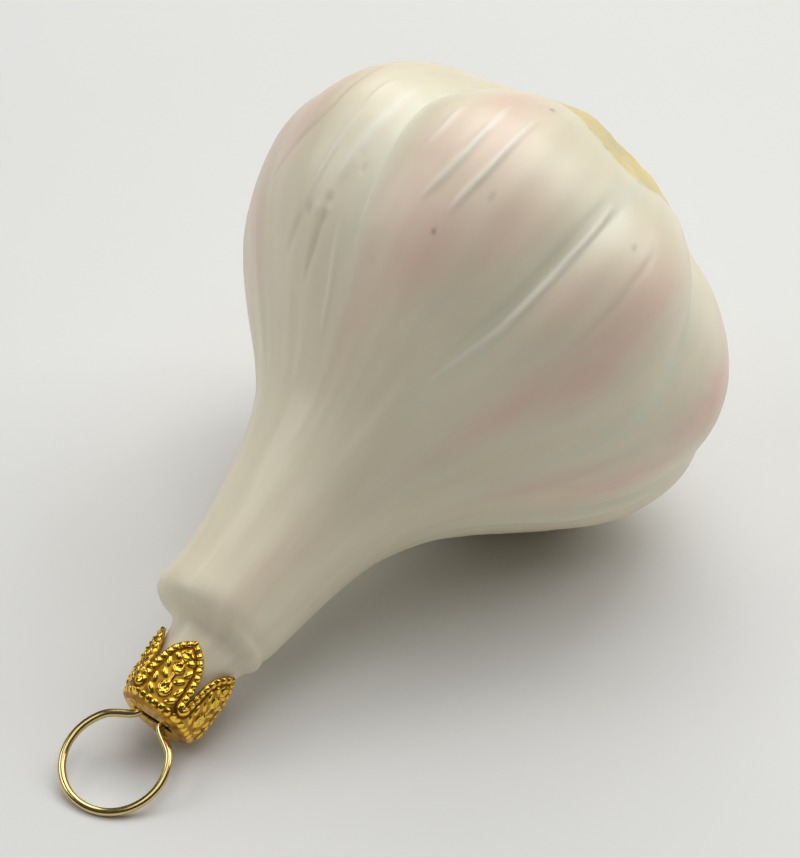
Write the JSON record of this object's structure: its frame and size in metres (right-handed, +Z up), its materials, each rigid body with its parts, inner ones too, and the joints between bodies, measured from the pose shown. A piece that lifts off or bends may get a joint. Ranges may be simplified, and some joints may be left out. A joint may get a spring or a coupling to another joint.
{
  "type": "glass garlic bulb ornament",
  "caption": "Hollow blown-glass hanging ornament shaped as a garlic bulb, with a petalled gilt crown cap and a wire ring hanger, lying on its side.",
  "frame": {"origin": "middle of the bounding box in plan, on the surface that the ornament lies on", "axes": "+X along the length, from the wire ring towards the root end of the bulb; +Z up"},
  "size_m": [0.09, 0.0592, 0.0567],
  "materials": {
    "painted_glass": "satin pearl paint on blown glass",
    "gilt_cap": "embossed, gilt lacquer",
    "brass_wire": "bright drawn wire"
  },
  "bodies": {
    "root": {"glass_bulb": "painted_glass", "crown_cap": "gilt_cap", "wire_hanger": "brass_wire"}
  },
  "joints": []
}
